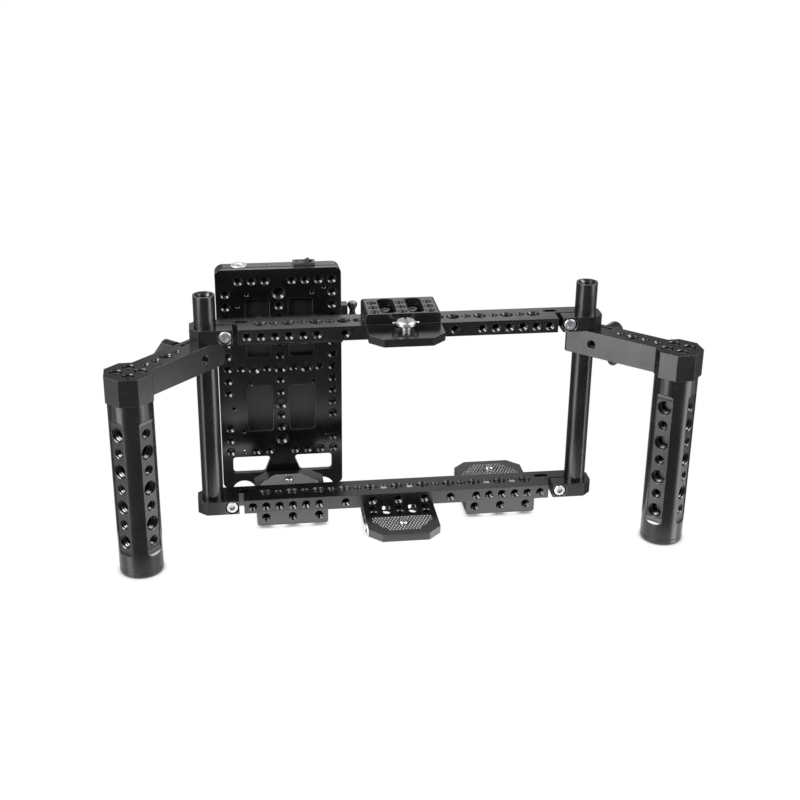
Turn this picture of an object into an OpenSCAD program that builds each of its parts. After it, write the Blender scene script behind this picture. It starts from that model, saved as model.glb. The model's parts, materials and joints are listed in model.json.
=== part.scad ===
// Monitor cage: two drilled bars on two upright rods, four support brackets,
// a pair of swinging side grips and a battery plate behind the top bar.
// Millimetres, +Z up, +Y to the rear. The origin is the mouth of the middle
// hole in the top face of the bottom bar.

/* [Bars] */
// Pitch of the threaded holes along a bar
hole_pitch = 9.5; // [9:0.1:9.6]
// Height of a bar
bar_h = 10.2; // [10:0.2:13]
// Depth of a bar from front to rear
bar_d = 23; // [22:0.5:28]
// Distance from a rod's axis to the end of the bar
bar_end = 10.7; // [10:0.1:14]
// Chamfer on the four upright corners of a bar
bar_chamfer = 6; // [2:0.5:6.5]
// Distance from the top of the bottom bar to the top of the top bar
bar_rise = 129.3; // [126:0.5:134]

/* [Rods] */
// Diameter of the rods
rod_d = 15; // [14:0.5:16]
// Half of the distance between the two rods
rod_x = 132.3; // [131:0.1:138]
// Height of a rod above the top bar
rod_above = 22.1; // [10:0.5:60]
// Radius of the threaded bore in a rod's end
rod_bore_r = 5.2; // [4:0.1:5.5]
// Depth of that bore
rod_bore_depth = 18; // [8:1:30]

/* [Threaded holes] */
// Bore radius of a small accessory hole
small_r = 2.6; // [2.4:0.05:2.8]
// Bore radius of a large accessory hole
large_r = 4; // [3.6:0.1:4.2]
// Chamfer at the mouth of a hole
mouth = 0.65; // [0.3:0.05:0.8]
// Depth of the blind holes
blind_depth = 6; // [4:0.5:6.5]
// Bore radius of the tiny screw holes in the battery plate
tiny_r = 1.25; // [1:0.05:1.6]

/* [Rod clamps] */
// Width of the gap that frees the front jaw
jaw_gap = 3.5; // [2:0.5:4]
// Distance from a rod's axis to the middle of that gap
jaw_gap_x = 20; // [19.5:0.1:20.5]
// Width of the slit between the jaw and the bar
slit_w = 1.6; // [1:0.1:2]
// Distance from a rod's axis to the clamp screw
clamp_screw_x = 13.2; // [12.8:0.1:13.4]
// Radius of the clamp screw's head
clamp_head_r = 4.15; // [3.8:0.05:4.3]
// Height of the clamp screw's head
clamp_head_h = 4.6; // [3.5:0.1:5]
// Radius of the clamp screw's shank
clamp_shank_r = 2.4; // [2:0.1:2.5]
// Length of the clamp screw's shank
clamp_shank_l = 13; // [10:0.5:14]
// Length of the slot beside the clamp
end_slot_l = 10.5; // [8:0.5:12]
// Width of the slot beside the clamp
end_slot_w = 4.2; // [3:0.1:4.5]
// Distance of that slot behind the row of holes
end_slot_y = 4.7; // [4.6:0.1:5.2]

/* [Support brackets] */
// Width of a bracket
sup_w = 51; // [50:0.5:56]
// Height of a bracket's block
block_h = 13; // [12:0.5:15]
// Depth of the block
block_d = 32; // [31:0.5:36]
// Distance of the block's far end inside the bar's face
block_inset = 5; // [4:0.1:5.6]
// Reach of the plate in front of the block
plate_reach = 28; // [27:0.5:29]
// Thickness of the plate
plate_t = 5.6; // [4.5:0.1:7]
// Chamfer on the plate's two free corners
plate_chamfer = 9; // [4:0.5:12]
// Rounding of the block's corners away from the flat face
block_round = 2; // [1:0.25:2.5]
// Pitch of the rows of holes in the block
row_pitch = 8.9; // [8.6:0.1:9.2]
// Distance of the first row in front of the bar's hole row
row_first = 3.2; // [3:0.1:3.4]
// Width of the bolt slots
slot_w = 11; // [10.4:0.1:11.4]
// Floor under the bolt heads
slot_floor = 3; // [2:0.25:4]
// Wall at both ends of a bolt slot
slot_wall = 1.6; // [1.2:0.1:2]
// Rounding of a bolt slot's corners
slot_round = 4; // [2:0.1:4.5]

/* [Support bolts] */
// Radius of a bolt's head
bolt_head_r = 3.6; // [3.4:0.1:4.8]
// Radius of a bolt's hexagon socket, over its corners
bolt_hex_r = 2.1; // [1.6:0.1:2.4]
// Depth of that socket
bolt_hex_d = 2.4; // [1.5:0.1:3]
// Height of a bolt's head
bolt_head_h = 4.2; // [3:0.1:6]
// Distance that a bolt ends below the far face of the bar
bolt_short = 0.8; // [0.2:0.1:2]

/* [Rubber pads] */
// Width of a pad along its wide edge
pad_wide = 43; // [38:0.5:45]
// Width of a pad along its narrow edge
pad_narrow = 20; // [14:0.5:24]
// Depth of a pad
pad_d = 20; // [18:0.5:21]
// Depth of the straight part behind the taper
pad_straight = 6; // [4:0.5:8]
// Distance from the block to the pad
pad_gap = 2.3; // [1.8:0.1:3]
// Corner radius of a pad
pad_round = 3; // [2:0.25:3.5]
// Depth of the recess that holds the pad
pad_recess = 1.2; // [0.8:0.1:1.6]
// Height of the pad above the bracket's face
pad_proud = 0.4; // [0.2:0.1:0.8]

/* [Captive screws] */
// Radius of a screw's head
thumb_r = 6.3; // [5.8:0.1:6.6]
// Height of a screw's head
thumb_h = 3.4; // [3.2:0.1:4.2]
// Radius of the neck under the head
neck_r = 2.75; // [2:0.05:2.8]
// Travel of a screw in its plate
screw_travel = 3.7; // [3.5:0.1:4]
// Radius of the threaded tip
tip_r = 3.1; // [2.9:0.05:3.15]
// Length of the threaded tip
tip_l = 5; // [3:0.25:5.2]
// Width of the driver slot
driver_w = 1.7; // [1:0.1:2]
// Depth of the driver slot
driver_d = 1.3; // [0.8:0.1:1.4]
// Wire radius of the folding ring
wire_r = 0.75; // [0.6:0.05:0.8]
// Gap between a screw's head and its ring
ring_gap = 1.05; // [0.3:0.05:1.1]
// Depth of a ring's pivot pin in the head
ring_pin = 1.8; // [1:0.1:2]
// Straight length of a ring's legs
ring_leg = 3; // [2.8:0.1:3.1]
// Fall of the top ring below level
top_ring_fall = 22; // [0:1:22]
// Lift of the front screw from its seat
front_lift = 1.7; // [0.3:0.1:3.5]
// Lift of the left screw from its seat
left_lift = 1.7; // [0.3:0.1:3.5]
// Lift of the right screw from its seat
right_lift = 0.3; // [0.3:0.1:3.5]

/* [Side arms] */
// Length of an arm from the rod's axis to the grip's axis
arm_l = 72; // [70:0.5:80]
// Width of an arm
arm_w = 19; // [18.5:0.25:22]
// Height of an arm
arm_h = 18; // [17:0.5:24]
// Wall between the rod and the arm's inner end
arm_wall = 3; // [2.5:0.25:5]
// Chamfer on the arm's inner corners
arm_chamfer = 2; // [1:0.25:3]
// Swing of the left arm towards the front
left_swing = 46.4; // [40:0.1:50]
// Swing of the right arm towards the front
right_swing = 42.5; // [40:0.1:50]
// Distance from the grip's axis to the first hole along the arm
arm_hole_first = 15.2; // [15:0.1:18]
// Distance of the clamp slit behind the arm's middle
arm_slit_y = 5; // [4.5:0.1:5.4]
// Distance from the rod's axis to the round end of the slit
arm_slit_l = 17.5; // [16.5:0.1:19]
// Distance from the rod's axis to the clamp lever's screw
lever_x = 11; // [10.8:0.1:11.6]

/* [Clamp levers] */
// Radius of a lever's hub
hub_r = 6.2; // [5.5:0.1:7]
// Radius of a lever's round tip
lever_tip_r = 4; // [3:0.25:5]
// Length of a lever from hub to tip
lever_l = 20; // [18:0.5:26]
// Thickness of a lever
lever_t = 10; // [6:0.5:12]
// Length of the collar between the arm and the lever
collar_l = 8; // [3:0.5:9]
// Radius of that collar
collar_r = 5; // [4.5:0.1:6]
// Rest angle of the left lever, upwards from the arm
left_lever_turn = -32; // [-90:1:90]
// Rest angle of the right lever, upwards from the arm
right_lever_turn = -78; // [-90:1:90]

/* [Grips] */
// Distance across the flats of the octagonal head
head_af = 31; // [30:0.5:36]
// Drop of the head below the arm
head_drop = 0.5; // [0.25:0.25:4]
// Radius of a grip
grip_r = 14.9; // [14.5:0.1:15.4]
// Length of a grip without its end cap
grip_l = 122.4; // [119:0.1:140]
// Distance from the grip's axis to its milled flats
flat_r = 13.1; // [12.9:0.05:13.3]
// Turn of the right grip's flats about its axis
right_lean = 3; // [-10:1:10]
// Width of a milled flat's cutter
flat_w = 12; // [11.6:0.1:12.4]
// Radius of a flat's run-out at its ends
flat_end_r = 7; // [6:0.5:8]
// Radius of the grips' large holes, at the root of the thread
grip_large_r = 4.75; // [4:0.05:4.8]
// Radius of the grips' small holes, at the root of the thread
grip_small_r = 3.2; // [2.6:0.05:3.3]
// Pitch of the holes along a flat
grip_pitch = 13.1; // [12:0.1:13.3]
// Number of holes along a flat
grip_holes = 7; // [3:2:7]
// Distance from the end holes to the ends of a flat
flat_over = 12.8; // [12.8:0.1:13.4]
// Half of the spacing of the four head screws
head_screw_xy = 5.6; // [5:0.1:6]
// Radius of a head screw's head
head_screw_r = 3.5; // [3:0.1:3.7]
// Thickness of the end cap
cap_h = 4; // [3:0.25:8]
// Rounding of the end cap's rim
cap_round = 1.4; // [0.5:0.1:1.6]

/* [Battery plate] */
// Middle of the battery plate along the bar
batt_x = -79.4; // [-82:0.2:-79]
// Distance from the bar's rear face to the plate's front
batt_stand = 45.5; // [45:0.5:60]
// Width of the plate
batt_w = 90.4; // [89:0.2:96]
// Height of the plate's top above the top bar
batt_above = 20; // [19:0.5:24]
// Height of the plate from its ears to its top
batt_h = 173.3; // [172:0.1:174.5]
// Thickness of the front plate
front_t = 4; // [3:0.25:6]
// Corner radius of the front plate
front_round = 4.5; // [3:0.25:5]
// Pitch of the plate's hole grid
grid_pitch = 9.6; // [9.4:0.05:9.65]
// Distance from the plate's top to the top row of the grid
grid_top = 8.7; // [8:0.1:9]
// Half distance between the pockets' middles
pocket_x = 15.5; // [14:0.1:17]
// Width of the upper pockets
pocket_w = 17.6; // [14:0.2:19]
// Height of the upper pockets
pocket_h = 45; // [36:0.5:47]
// Width of the lower pockets
low_pocket_w = 18.8; // [14:0.2:19.4]
// Height of the lower pockets
low_pocket_h = 36.6; // [28:0.2:38]
// Corner radius of the pockets and cut-outs
pocket_round = 2.4; // [1.5:0.1:3]
// Height of the bottom cut-outs
cutout_h = 13.5; // [10:0.5:14]
// Height of the rail below the cut-outs
rail_h = 12; // [11:0.5:12.5]
// Width of each ear's post beside a cut-out
post_w = 8; // [6:0.5:12]
// Half width of the web at the top of the cut-outs
web_top_w = 8.3; // [6:0.1:10]
// Half width of the web at the bottom of the cut-outs
web_low_w = 13.5; // [11:0.1:16]
// Radius of the scallops between the ears
scallop_r = 9; // [6:0.5:10]
// Depth of the scallops
scallop_d = 5.6; // [3:0.2:6]
// Distance from the plate's edge to a scallop's middle
scallop_x = 15.5; // [14:0.5:18]
// Distance of the power jack from the plate's left edge
jack_edge = 17.6; // [14:0.2:22]
// Radius of the jack's flange
jack_r = 5.8; // [4.6:0.1:6.5]
// Radius of the jack's bore
jack_bore = 2.8; // [2:0.1:3.2]
// Distance of the switch from the plate's right edge
switch_edge = 26.1; // [22:0.1:31]
// Length of the switch's bezel
switch_l = 15.8; // [15:0.1:18]
// Depth of the switch's bezel
switch_d = 9.2; // [8.6:0.1:9.2]
// Depth of the groove behind the front plate
groove_d = 1.2; // [0.5:0.1:2]
// Width of that groove
groove_w = 1.5; // [0.8:0.1:3]
// Thickness of the battery housing
house_t = 9.5; // [9.2:0.1:12]
// Height of the housing
house_h = 144; // [142:0.5:145]
// Corner radius of the housing
house_round = 6; // [4.5:0.25:7]
// Depth of the wedge recess in the housing's rear
wedge_d = 5; // [4:0.25:6]
// Half width of the wedge recess at its top
wedge_top = 30; // [26:0.5:34]
// Half width of the wedge recess at its bottom
wedge_low = 17; // [13:0.5:20]
// Height of the wedge recess
wedge_h = 73; // [66:0.5:78]
// Lip that the wedge frame leaves over the recess
wedge_lip = 3; // [2:0.25:4]
// Thickness of the wedge frame
frame_t = 2; // [1.5:0.1:3]
// Width of the wedge frame beside the recess
frame_side = 9; // [8:0.5:10]
// Height of the wedge frame beyond the recess
frame_over = 12; // [10:0.5:13]

/* [Carrier] */
// Width of the carrier between bar and battery plate
carrier_w = 84; // [82:0.5:86]
// Thickness of the carrier's two flanges
carrier_t = 5; // [4:0.25:6]
// Thickness of the carrier's web
web_t = 4.4; // [3:0.2:6]
// Drop from the bar's top to the carrier's web
web_drop = 15.9; // [14:0.1:16.2]
// Height of the flange on the battery plate
carrier_low = 17.4; // [16:0.2:20]

/* [Battery lock] */
// Width of the lock block beside the housing
lock_w = 5.2; // [4.5:0.1:6.5]
// Height of the lock block
lock_h = 22.2; // [21:0.2:24]
// Drop from the bar's top to the top of the lock block
lock_drop = 11.5; // [10:0.5:16]
// Radius of the lock knob's head
knob_r = 3.6; // [3.2:0.1:3.8]
// Radius of the lock knob's waist
waist_r = 2.1; // [1.9:0.1:2.4]
// Radius of the knob's foot
knob_foot_r = 2.6; // [2.2:0.1:3]
// Height of the knob
knob_h = 10.4; // [9:0.1:12]
// Height of the knob's rim
knob_rim = 2.2; // [1.5:0.1:3]
// Chamfer of the knob's upper edge
knob_edge = 0.4; // [0.2:0.1:0.8]
// Lower end of the knob's waist
waist_low = 3.6; // [2:0.1:4]
// Upper end of the knob's waist
waist_high = 5; // [4.2:0.1:6]
// Radius of the lock knob's stem
stem_r = 1.8; // [1.5:0.05:1.85]
// Travel of the lock knob
lock_travel = 4; // [2:0.25:4.5]

/* [Hidden] */
$fn = 64;
// Small overshoot of a cutter past the face it opens
over = 0.5;
// Running clearance between a shaft and its bore
fit = 0.05;
// Clearance of a bolt or stem in a plain hole
play = 0.2;
// Clearance between pieces that move past each other
part_gap = 0.3;

// Rows of holes
slot_x = rod_x - jaw_gap_x - jaw_gap / 2 - end_slot_l / 2 + 3;
n_half = floor((rod_x - jaw_gap_x - jaw_gap / 2 - small_r - mouth) / hole_pitch);
front_idx = [for (i = [-n_half : n_half]) if (abs(i) >= 6 || i % 2 == 0) i];
rear_idx = [for (i = front_idx) if (abs(i) * hole_pitch + small_r + mouth < slot_x - end_slot_l / 2) i];
top_idx = [for (i = [1 - n_half : n_half - 1]) i];
rod_len = bar_h + bar_rise + rod_above;

// Brackets
far_y = bar_d / 2 - block_inset;
block_front = far_y - block_d;
plate_front = block_front - plate_reach;
pad_rear = block_front - pad_gap;
screw_y = pad_rear - pad_d / 2;
slot_front = block_front + slot_wall;
slot_rear = far_y - slot_wall;
side_idx = 8;
under_head = plate_t + screw_travel;
ring_r = thumb_r + wire_r + ring_gap;

// Arms and grips, measured from the underside of the top bar
arm_top = bar_rise - bar_h;
grip_top = arm_top - arm_h - head_drop;
grip_bottom = grip_top - grip_l;
head_screw_seat = 5;
lever_y = arm_w / 2 + part_gap;

// Battery plate
batt_y = bar_d / 2 + batt_stand;
batt_top = bar_rise + batt_above;
batt_low = batt_top - batt_h;
house_y = batt_y + front_t + groove_w;
house_low = batt_top - house_h;
rear_y = house_y + house_t;
grid_z = batt_top - grid_top;
wedge_z = batt_top - 27;
batt_right = batt_x + batt_w / 2;
web_top = bar_rise - web_drop;
lock_z = bar_rise - lock_drop;
lock_y = house_y + house_t / 2;
knob_x = batt_right + lock_w + knob_r + part_gap;
lock_low = lock_z - lock_h;
tongue_t = 2;
tongue_low = lock_low + 1;
tongue_gap = tongue_t + lock_travel + 2 * part_gap;
tongue_y = rear_y - wedge_d + 1.5;
foot_top = tongue_low + tongue_gap + 4.4;
wedge_half = wedge_low + (wedge_top - wedge_low) * (tongue_low - wedge_z + wedge_h) / wedge_h;
tongue_end = batt_x + wedge_half - 2.5;

// Holes of the battery plate's grid: [row from the top, columns]
grid_small = [[0, [-3, -2, -1, 1, 2, 3, 4]], [1, [-4, 4]], [2, [-4, 0, 4]], [3, [-4, 0, 4]],
    [4, [-4, 0, 4]], [5, [-4, 0, 4]], [6, [-4, 0, 4]], [7, [-4, -3, -1, 1, 3, 4]],
    [8, [-4, 0, 4]], [9, [-4, 0, 4]], [10, [4]], [11, [0, 4]], [12, [-4, 0]],
    [13, [-4, 4]], [14, [-4, -2, -1, 1, 2, 3, 4]]];
grid_large = [[1, [0]], [7, [-2, 0, 2]], [10, [0]], [13, [0]]];
// Places of the tiny screw holes, in grid steps from the middle and from the top row
tiny_at = [[-2.4, 1.05], [-3.1, 1.95], [2.5, 1], [3.4, 0.6], [-2.3, 8.3], [2.55, 8.25],
    [-3.65, 10.35], [-2.95, 12.3], [-2.95, 14.05], [3.55, 12.7]];
carrier_z = grid_z - 4 * grid_pitch;
jack_x = batt_right - batt_w + jack_edge;
switch_x = batt_right - switch_edge;
// Wall of the bezel and clearance of the rocker in it
bezel_wall = 2.2;
rocker_l = switch_l - 2 * bezel_wall;
rocker_w = switch_d - 2 * 1.6;

black = [0.13, 0.13, 0.14];
dark = [0.2, 0.2, 0.21];
silver = [0.82, 0.82, 0.83];
rubber = [0.3, 0.3, 0.31];

// Drilled hole along -Z from the face z = 0, with a chamfered mouth
module drill(r, depth, lip = mouth) {
    translate([0, 0, -depth]) cylinder(r = r, h = depth + over);
    translate([0, 0, -lip]) cylinder(r1 = r, r2 = r + lip + over, h = lip + over);
}

// Hole right through a wall of thickness t below z = 0, chamfered on both faces
module drill_through(r, t, lip = mouth) {
    drill(r, t + over, lip);
    translate([0, 0, -t]) mirror([0, 0, 1]) drill_mouth(r, lip);
}

module drill_mouth(r, lip) {
    translate([0, 0, -lip]) cylinder(r1 = r, r2 = r + lip + over, h = lip + over);
}

// Rectangle with round corners, centred on the origin
module round_rect(w, h, r) {
    square([w - 2 * r, h], center = true);
    square([w, h - 2 * r], center = true);
    for (sx = [-1, 1], sy = [-1, 1]) translate([sx * (w / 2 - r), sy * (h / 2 - r)]) circle(r = r);
}

// Convex outline with every corner rounded to radius r
function unit(v) = v / norm(v);
function corner_arc(a, b, c, r) =
    let (u = unit(a - b), w = unit(c - b), half = acos(u * w) / 2)
    let (m = b + unit(u + w) * r / sin(half), p = b + u * r / tan(half), q = b + w * r / tan(half))
    let (a0 = atan2(p[1] - m[1], p[0] - m[0]), a1 = atan2(q[1] - m[1], q[0] - m[0]))
    let (turn = (a1 - a0 + 540) % 360 - 180)
    [for (k = [0 : 8]) m + r * [cos(a0 + turn * k / 8), sin(a0 + turn * k / 8)]];
module round_outline(p, r) {
    n = len(p);
    polygon([for (i = [0 : n - 1]) for (q = corner_arc(p[(i + n - 1) % n], p[i], p[(i + 1) % n], r)) q]);
}

// Bar with its top face at z = 0
module bar() {
    x1 = rod_x + bar_end;
    y1 = bar_d / 2;
    c = bar_chamfer;
    gap_in = rod_x - jaw_gap_x - jaw_gap / 2;
    difference() {
        translate([0, 0, -bar_h]) linear_extrude(bar_h)
            polygon([[-x1, -y1 + c], [-x1 + c, -y1], [x1 - c, -y1], [x1, -y1 + c],
                [x1, y1 - c], [x1 - c, y1], [-x1 + c, y1], [-x1, y1 - c]]);
        for (s = [-1, 1]) {
            translate([s * rod_x, 0, -bar_h - over]) cylinder(r = rod_d / 2 + fit, h = bar_h + 2 * over);
            translate([s * (rod_x - jaw_gap_x) - jaw_gap / 2, -y1 - over, -bar_h - over])
                cube([jaw_gap, y1 + over + slit_w / 2, bar_h + 2 * over]);
            translate([s > 0 ? gap_in : -rod_x, -slit_w / 2, -bar_h - over])
                cube([rod_x - gap_in, slit_w, bar_h + 2 * over]);
            translate([s * (rod_x - clamp_screw_x), -y1, -bar_h / 2]) rotate([90, 0, 0]) {
                drill(clamp_head_r + 0.8, clamp_head_h + 0.2, 0.3);
                drill(clamp_shank_r + play, clamp_head_h + clamp_shank_l + 1, 0.3);
            }
            translate([s * slot_x, end_slot_y, -bar_h - over]) linear_extrude(bar_h + 2 * over)
                round_rect(end_slot_l, end_slot_w, end_slot_w / 2 - 0.01);
        }
        for (i = front_idx) translate([i * hole_pitch, -y1, -bar_h / 2]) rotate([90, 0, 0])
            drill(small_r, blind_depth);
        for (i = rear_idx) translate([i * hole_pitch, y1, -bar_h / 2]) rotate([-90, 0, 0])
            drill(small_r, blind_depth);
        for (i = top_idx) translate([i * hole_pitch, 0, 0])
            drill_through(i % 2 == 0 ? large_r : small_r, bar_h);
    }
}

module clamp_screws() {
    for (s = [-1, 1]) translate([s * (rod_x - clamp_screw_x), -bar_d / 2 + clamp_head_h + 0.2, -bar_h / 2])
        rotate([90, 0, 0]) difference() {
            union() {
                translate([0, 0, -clamp_shank_l]) cylinder(r = clamp_shank_r, h = clamp_shank_l + 0.5);
                cylinder(r = clamp_head_r, h = clamp_head_h - 0.5);
                translate([0, 0, clamp_head_h - 0.5])
                    cylinder(r1 = clamp_head_r, r2 = clamp_head_r - 0.5, h = 0.5);
            }
            translate([0, 0, clamp_head_h - 2.2]) cylinder(r = 2.3, h = 3, $fn = 6);
        }
}

module rod() {
    difference() {
        translate([0, 0, -bar_h]) cylinder(r = rod_d / 2, h = rod_len);
        translate([0, 0, bar_rise + rod_above]) drill(rod_bore_r, rod_bore_depth, 0.9);
        translate([0, 0, -bar_h]) mirror([0, 0, 1]) drill(rod_bore_r, rod_bore_depth, 0.9);
    }
}

// Pad outline in the bracket's own frame
module pad_outline(grow = 0) {
    w = pad_wide / 2 + grow;
    n = pad_narrow / 2 + grow * 0.6;
    y0 = pad_rear + grow;
    y1 = pad_rear - pad_straight;
    y2 = pad_rear - pad_d - grow;
    round_outline([[w, y0], [w, y1], [n, y2], [-n, y2], [-w, y1], [-w, y0]], pad_round);
}

// Bracket: flat face at z = 0, block upwards, plate towards -Y, bar's hole row at y = 0
module support() {
    w = sup_w / 2;
    c = plate_chamfer;
    rows = [for (k = [0 : 2]) -row_first - k * row_pitch];
    slot_mid = (slot_front + slot_rear) / 2;
    slot_len = slot_rear - slot_front;
    difference() {
        union() {
            linear_extrude(plate_t) polygon([[-w, far_y], [-w, plate_front + c], [-w + c, plate_front],
                [w - c, plate_front], [w, plate_front + c], [w, far_y]]);
            translate([0, far_y, 0]) rotate([90, 0, 0]) linear_extrude(block_d) {
                translate([-w, 0]) square([sup_w, block_h - block_round]);
                translate([-w + block_round, 0]) square([sup_w - 2 * block_round, block_h]);
                for (s = [-1, 1]) translate([s * (w - block_round), block_h - block_round])
                    circle(r = block_round);
            }
        }
        for (sx = [-1, 0, 1], y = rows) translate([sx * 2 * hole_pitch, y, block_h])
            drill_through(small_r, block_h);
        for (s = [-1, 1]) translate([s * hole_pitch, slot_mid, 0]) {
            translate([0, 0, slot_floor]) linear_extrude(block_h) round_rect(slot_w, slot_len, slot_round);
            translate([0, 0, -over]) linear_extrude(block_h)
                round_rect(2 * (small_r + play), slot_len - 2, small_r + play - 0.01);
        }
        for (sx = [-1, 0, 1]) translate([sx * 2 * hole_pitch, far_y, block_h / 2]) rotate([-90, 0, 0])
            drill(small_r, blind_depth);
        for (s = [-1, 1], k = [0, 1]) translate([s * w, rows[k] - row_pitch / 2, block_h / 2])
            rotate([0, s * 90, 0]) drill(small_r, 3.4);
        translate([0, 0, -over]) linear_extrude(pad_recess + over) pad_outline(0.15);
        translate([0, screw_y, -over]) cylinder(r = tip_r + play, h = plate_t + 2 * over);
    }
}

module pad() {
    difference() {
        translate([0, 0, -pad_proud]) linear_extrude(pad_recess + pad_proud) pad_outline();
        translate([0, screw_y, -pad_proud - over])
            cylinder(r = tip_r + 0.5, h = pad_recess + pad_proud + 2 * over);
    }
}

// The two bolts of one bracket, threaded into the bar below z = 0
module bolts() {
    for (s = [-1, 1]) translate([s * hole_pitch, 0, slot_floor]) difference() {
        union() {
            translate([0, 0, -slot_floor - bar_h + bolt_short])
                cylinder(r = small_r - fit, h = slot_floor + bar_h - bolt_short + 0.5);
            cylinder(r = bolt_head_r, h = bolt_head_h - 0.4);
            translate([0, 0, bolt_head_h - 0.4]) cylinder(r1 = bolt_head_r, r2 = bolt_head_r - 0.4, h = 0.4);
        }
        translate([0, 0, bolt_head_h - bolt_hex_d]) cylinder(r = bolt_hex_r, h = bolt_hex_d + over, $fn = 6);
    }
}

// Captive screw, raised by lift from its seat on the plate
module captive_screw(lift) {
    translate([0, screw_y, plate_t + lift]) difference() {
        union() {
            translate([0, 0, 0.5]) cylinder(r = thumb_r, h = thumb_h - 1.3);
            cylinder(r1 = thumb_r - 0.5, r2 = thumb_r, h = 0.5);
            translate([0, 0, thumb_h - 0.8]) cylinder(r1 = thumb_r, r2 = thumb_r - 0.8, h = 0.8);
            translate([0, 0, -under_head + 0.5]) cylinder(r = neck_r, h = under_head);
            translate([0, 0, -under_head + 0.6]) cylinder(r = tip_r, h = tip_l - 0.6);
            translate([0, 0, -under_head]) cylinder(r1 = tip_r - 0.6, r2 = tip_r, h = 0.6);
        }
        translate([-driver_w / 2, -thumb_r - over, thumb_h - driver_d])
            cube([driver_w, 2 * thumb_r + 2 * over, driver_d + over]);
        for (s = [-1, 1]) translate([s * (thumb_r + over), 0, thumb_h / 2]) rotate([0, -s * 90, 0])
            cylinder(r = wire_r + fit, h = ring_pin + play + over);
    }
}

// Folding ring of that screw, laid back towards the block and fallen below level by an angle
module fold_ring(lift, fall = 0) {
    translate([0, screw_y, plate_t + lift + thumb_h / 2]) rotate([-fall, 0, 0]) {
        translate([0, ring_leg, 0]) rotate_extrude(angle = 180) translate([ring_r, 0]) circle(r = wire_r);
        for (s = [-1, 1]) {
            translate([s * ring_r, 0, 0]) rotate([-90, 0, 0]) cylinder(r = wire_r, h = ring_leg);
            translate([s * ring_r, 0, 0]) sphere(r = wire_r);
            translate([s * ring_r, 0, 0]) rotate([0, -s * 90, 0])
                cylinder(r = wire_r, h = wire_r + ring_gap + ring_pin);
        }
    }
}

// Places of the four brackets
module on_top() { translate([0, 0, bar_rise]) children(); }
module at_front() { translate([0, 0, -bar_h]) rotate([0, 180, 0]) children(); }
module at_rear(i) { translate([i * hole_pitch, 0, -bar_h]) rotate([0, 180, 180]) children(); }

// Places of the two arms: x outwards along the arm, y to its rear, z = 0 at its top face
module right_side() { translate([rod_x, 0, arm_top]) rotate([0, 0, -right_swing]) children(); }
module left_side() { translate([-rod_x, 0, arm_top]) mirror([1, 0, 0]) rotate([0, 0, -left_swing]) children(); }

module arm() {
    w = arm_w / 2;
    x0 = -rod_d / 2 - arm_wall;
    c = arm_chamfer;
    hr = head_af / 2 / cos(22.5);
    difference() {
        union() {
            translate([0, 0, -arm_h]) linear_extrude(arm_h) {
                polygon([[x0, -w + c], [x0 + c, -w], [arm_l, -w], [arm_l, w], [x0 + c, w], [x0, w - c]]);
                translate([arm_l, 0]) rotate(22.5) circle(r = hr, $fn = 8);
            }
            translate([arm_l, 0, -arm_h - head_drop]) rotate([0, 0, 22.5])
                cylinder(r = hr, h = head_drop, $fn = 8);
        }
        translate([0, 0, -arm_h - over]) cylinder(r = rod_d / 2 + fit, h = arm_h + 2 * over);
        translate([0, arm_slit_y - slit_w / 2, -arm_h - over]) cube([arm_slit_l, slit_w, arm_h + 2 * over]);
        translate([arm_slit_l, arm_slit_y, -arm_h - over]) cylinder(r = slit_w, h = arm_h + 2 * over);
        translate([lever_x, -w, -arm_h / 2]) rotate([90, 0, 0]) drill(small_r, arm_w + 2 * over);
        translate([arm_l - arm_hole_first, 0, 0]) drill(small_r, arm_h + head_drop + over);
        for (k = [1 : 3]) translate([arm_l - arm_hole_first - k * hole_pitch, 0, 0])
            drill_through(k == 2 ? large_r : small_r, arm_h);
        for (sx = [-1, 1], sy = [-1, 1]) translate([arm_l + sx * head_screw_xy, sy * head_screw_xy, 0]) {
            drill(head_screw_r + 0.6, head_screw_seat, 0.4);
            drill(2.2, arm_h + head_drop + over, 0.2);
        }
    }
}

// Clamp lever with its stud, turned about the stud's axis
module lever(turn) {
    translate([lever_x, lever_y, -arm_h / 2]) rotate([-90, 0, 0]) rotate([0, 0, -turn]) {
        translate([0, 0, -lever_y - 3]) cylinder(r = small_r - 2 * fit, h = lever_y + 3 + 0.5);
        cylinder(r = collar_r, h = collar_l + 0.5);
        translate([0, 0, collar_l]) linear_extrude(lever_t) {
            a = acos((hub_r - lever_tip_r) / lever_l);
            p = (hub_r - 0.04) * [cos(a), sin(a)];
            q = (lever_tip_r - 0.04) * [cos(a), sin(a)] + [lever_l, 0];
            circle(r = hub_r);
            translate([lever_l, 0]) circle(r = lever_tip_r);
            polygon([p, q, [q[0], -q[1]], [p[0], -p[1]]]);
        }
        translate([0, 0, collar_l + lever_t - 0.5]) cylinder(r = 4, h = 1.5);
    }
}

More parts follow.
